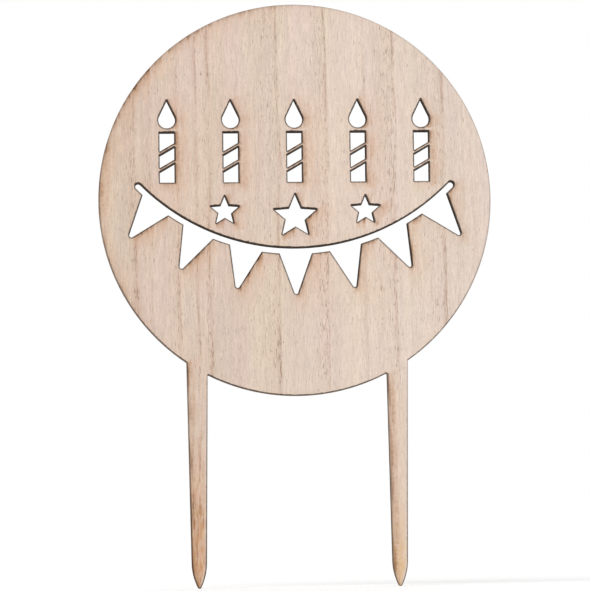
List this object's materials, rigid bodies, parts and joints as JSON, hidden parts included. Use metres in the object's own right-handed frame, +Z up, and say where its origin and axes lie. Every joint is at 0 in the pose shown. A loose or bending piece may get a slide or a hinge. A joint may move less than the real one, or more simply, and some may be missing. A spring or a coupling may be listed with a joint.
{
  "type": "cake topper",
  "caption": "Round laser-cut plywood cake topper: a disc pierced with candles, stars and a swag of bunting, on tapered stakes that push into the cake.",
  "frame": {"origin": "midway between the two stakes, in the middle of the sheet's thickness, level with the lowest point of the disc, where the cake's top lies when the stakes are pushed right in", "axes": "+X to the viewer's right along the sheet, +Y through the sheet away from the viewer (the show face looks along -Y), +Z up along the stakes"},
  "size_m": [0.15, 0.003, 0.2226],
  "materials": {
    "face_veneer": "bare pale veneer, straight vertical grain, scorched beside the cuts",
    "glue_line": "cured adhesive film, charred at the cut edge",
    "core_ply": "bare core veneer, cross grain, charred at the cut edge"
  },
  "bodies": {
    "root": {"front_veneer": "face_veneer", "front_glue_line": "glue_line", "core_ply": "core_ply", "back_glue_line": "glue_line", "back_veneer": "face_veneer"}
  },
  "joints": []
}
